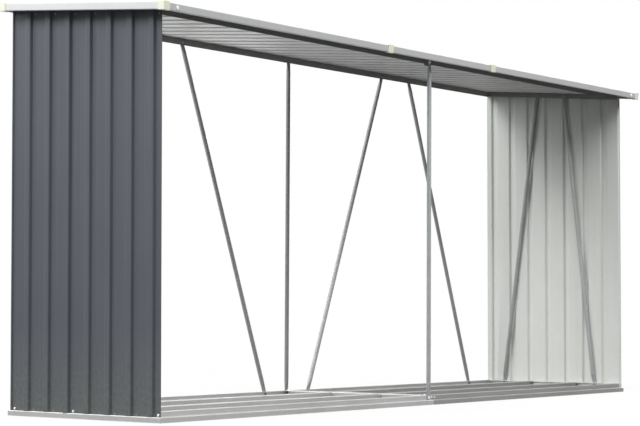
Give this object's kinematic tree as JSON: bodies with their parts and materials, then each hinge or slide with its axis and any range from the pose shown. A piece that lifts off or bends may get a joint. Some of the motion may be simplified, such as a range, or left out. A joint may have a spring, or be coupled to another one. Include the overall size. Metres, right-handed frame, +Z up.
{
  "type": "log store",
  "caption": "Long open log store: ribbed sheet end walls, sloping ribbed roof with pale edge trims, tube posts and braces on a pressed steel base frame, open at the front and back.",
  "frame": {"origin": "centre of the overall plan, on the ground under the base rails", "axes": "+X along the length towards the right end, the open front faces -Y, the roof rises towards the back at +Y, +Z up"},
  "size_m": [3.3, 0.84, 1.52],
  "materials": {
    "base_rails": "bare galvanised sheet, dull silver",
    "wall_sheet": "satin anthracite paint outside, pale grey coating inside",
    "top_rails": "satin dark anthracite paint",
    "tubes": "dull grey galvanised tube",
    "roof_sheet": "satin anthracite paint above, glossy pale grey coating below",
    "edge_trim": "smooth pale grey coated sheet",
    "caps": "plain cream moulded plastic"
  },
  "bodies": {
    "root": {"base_rail_front_left": "base_rails", "base_rail_front_right": "base_rails", "base_rail_back_left": "base_rails", "base_rail_back_right": "base_rails", "base_rail_left": "base_rails", "base_rail_right": "base_rails", "base_cross_rail": "base_rails", "floor_stringer_front_left": "base_rails", "floor_stringer_front_right": "base_rails", "floor_stringer_back_left": "base_rails", "floor_stringer_back_right": "base_rails", "left_wall_back_panel": "wall_sheet", "left_wall_front_panel": "wall_sheet", "right_wall_back_panel": "wall_sheet", "right_wall_front_panel": "wall_sheet", "top_rail_front_left": "top_rails", "top_rail_front_right": "top_rails", "top_rail_back_left": "top_rails", "top_rail_back_right": "top_rails", "top_rail_left": "top_rails", "top_rail_right": "top_rails", "front_center_post": "tubes", "back_center_post": "tubes", "back_brace_left_outer": "tubes", "back_brace_left_inner": "tubes", "back_brace_right_inner": "tubes", "back_brace_right_outer": "tubes", "left_wall_brace_back": "tubes", "left_wall_brace_front": "tubes", "right_wall_brace_back": "tubes", "right_wall_brace_front": "tubes", "roof_panel_1": "roof_sheet", "roof_panel_2": "roof_sheet", "roof_panel_3": "roof_sheet", "roof_panel_4": "roof_sheet", "trim_front_left": "edge_trim", "trim_front_middle": "edge_trim", "trim_front_right": "edge_trim", "trim_back_left": "edge_trim", "trim_back_middle": "edge_trim", "trim_back_right": "edge_trim", "trim_left": "edge_trim", "trim_right": "edge_trim", "corner_caps": "caps", "joint_clips": "caps"}
  },
  "joints": []
}
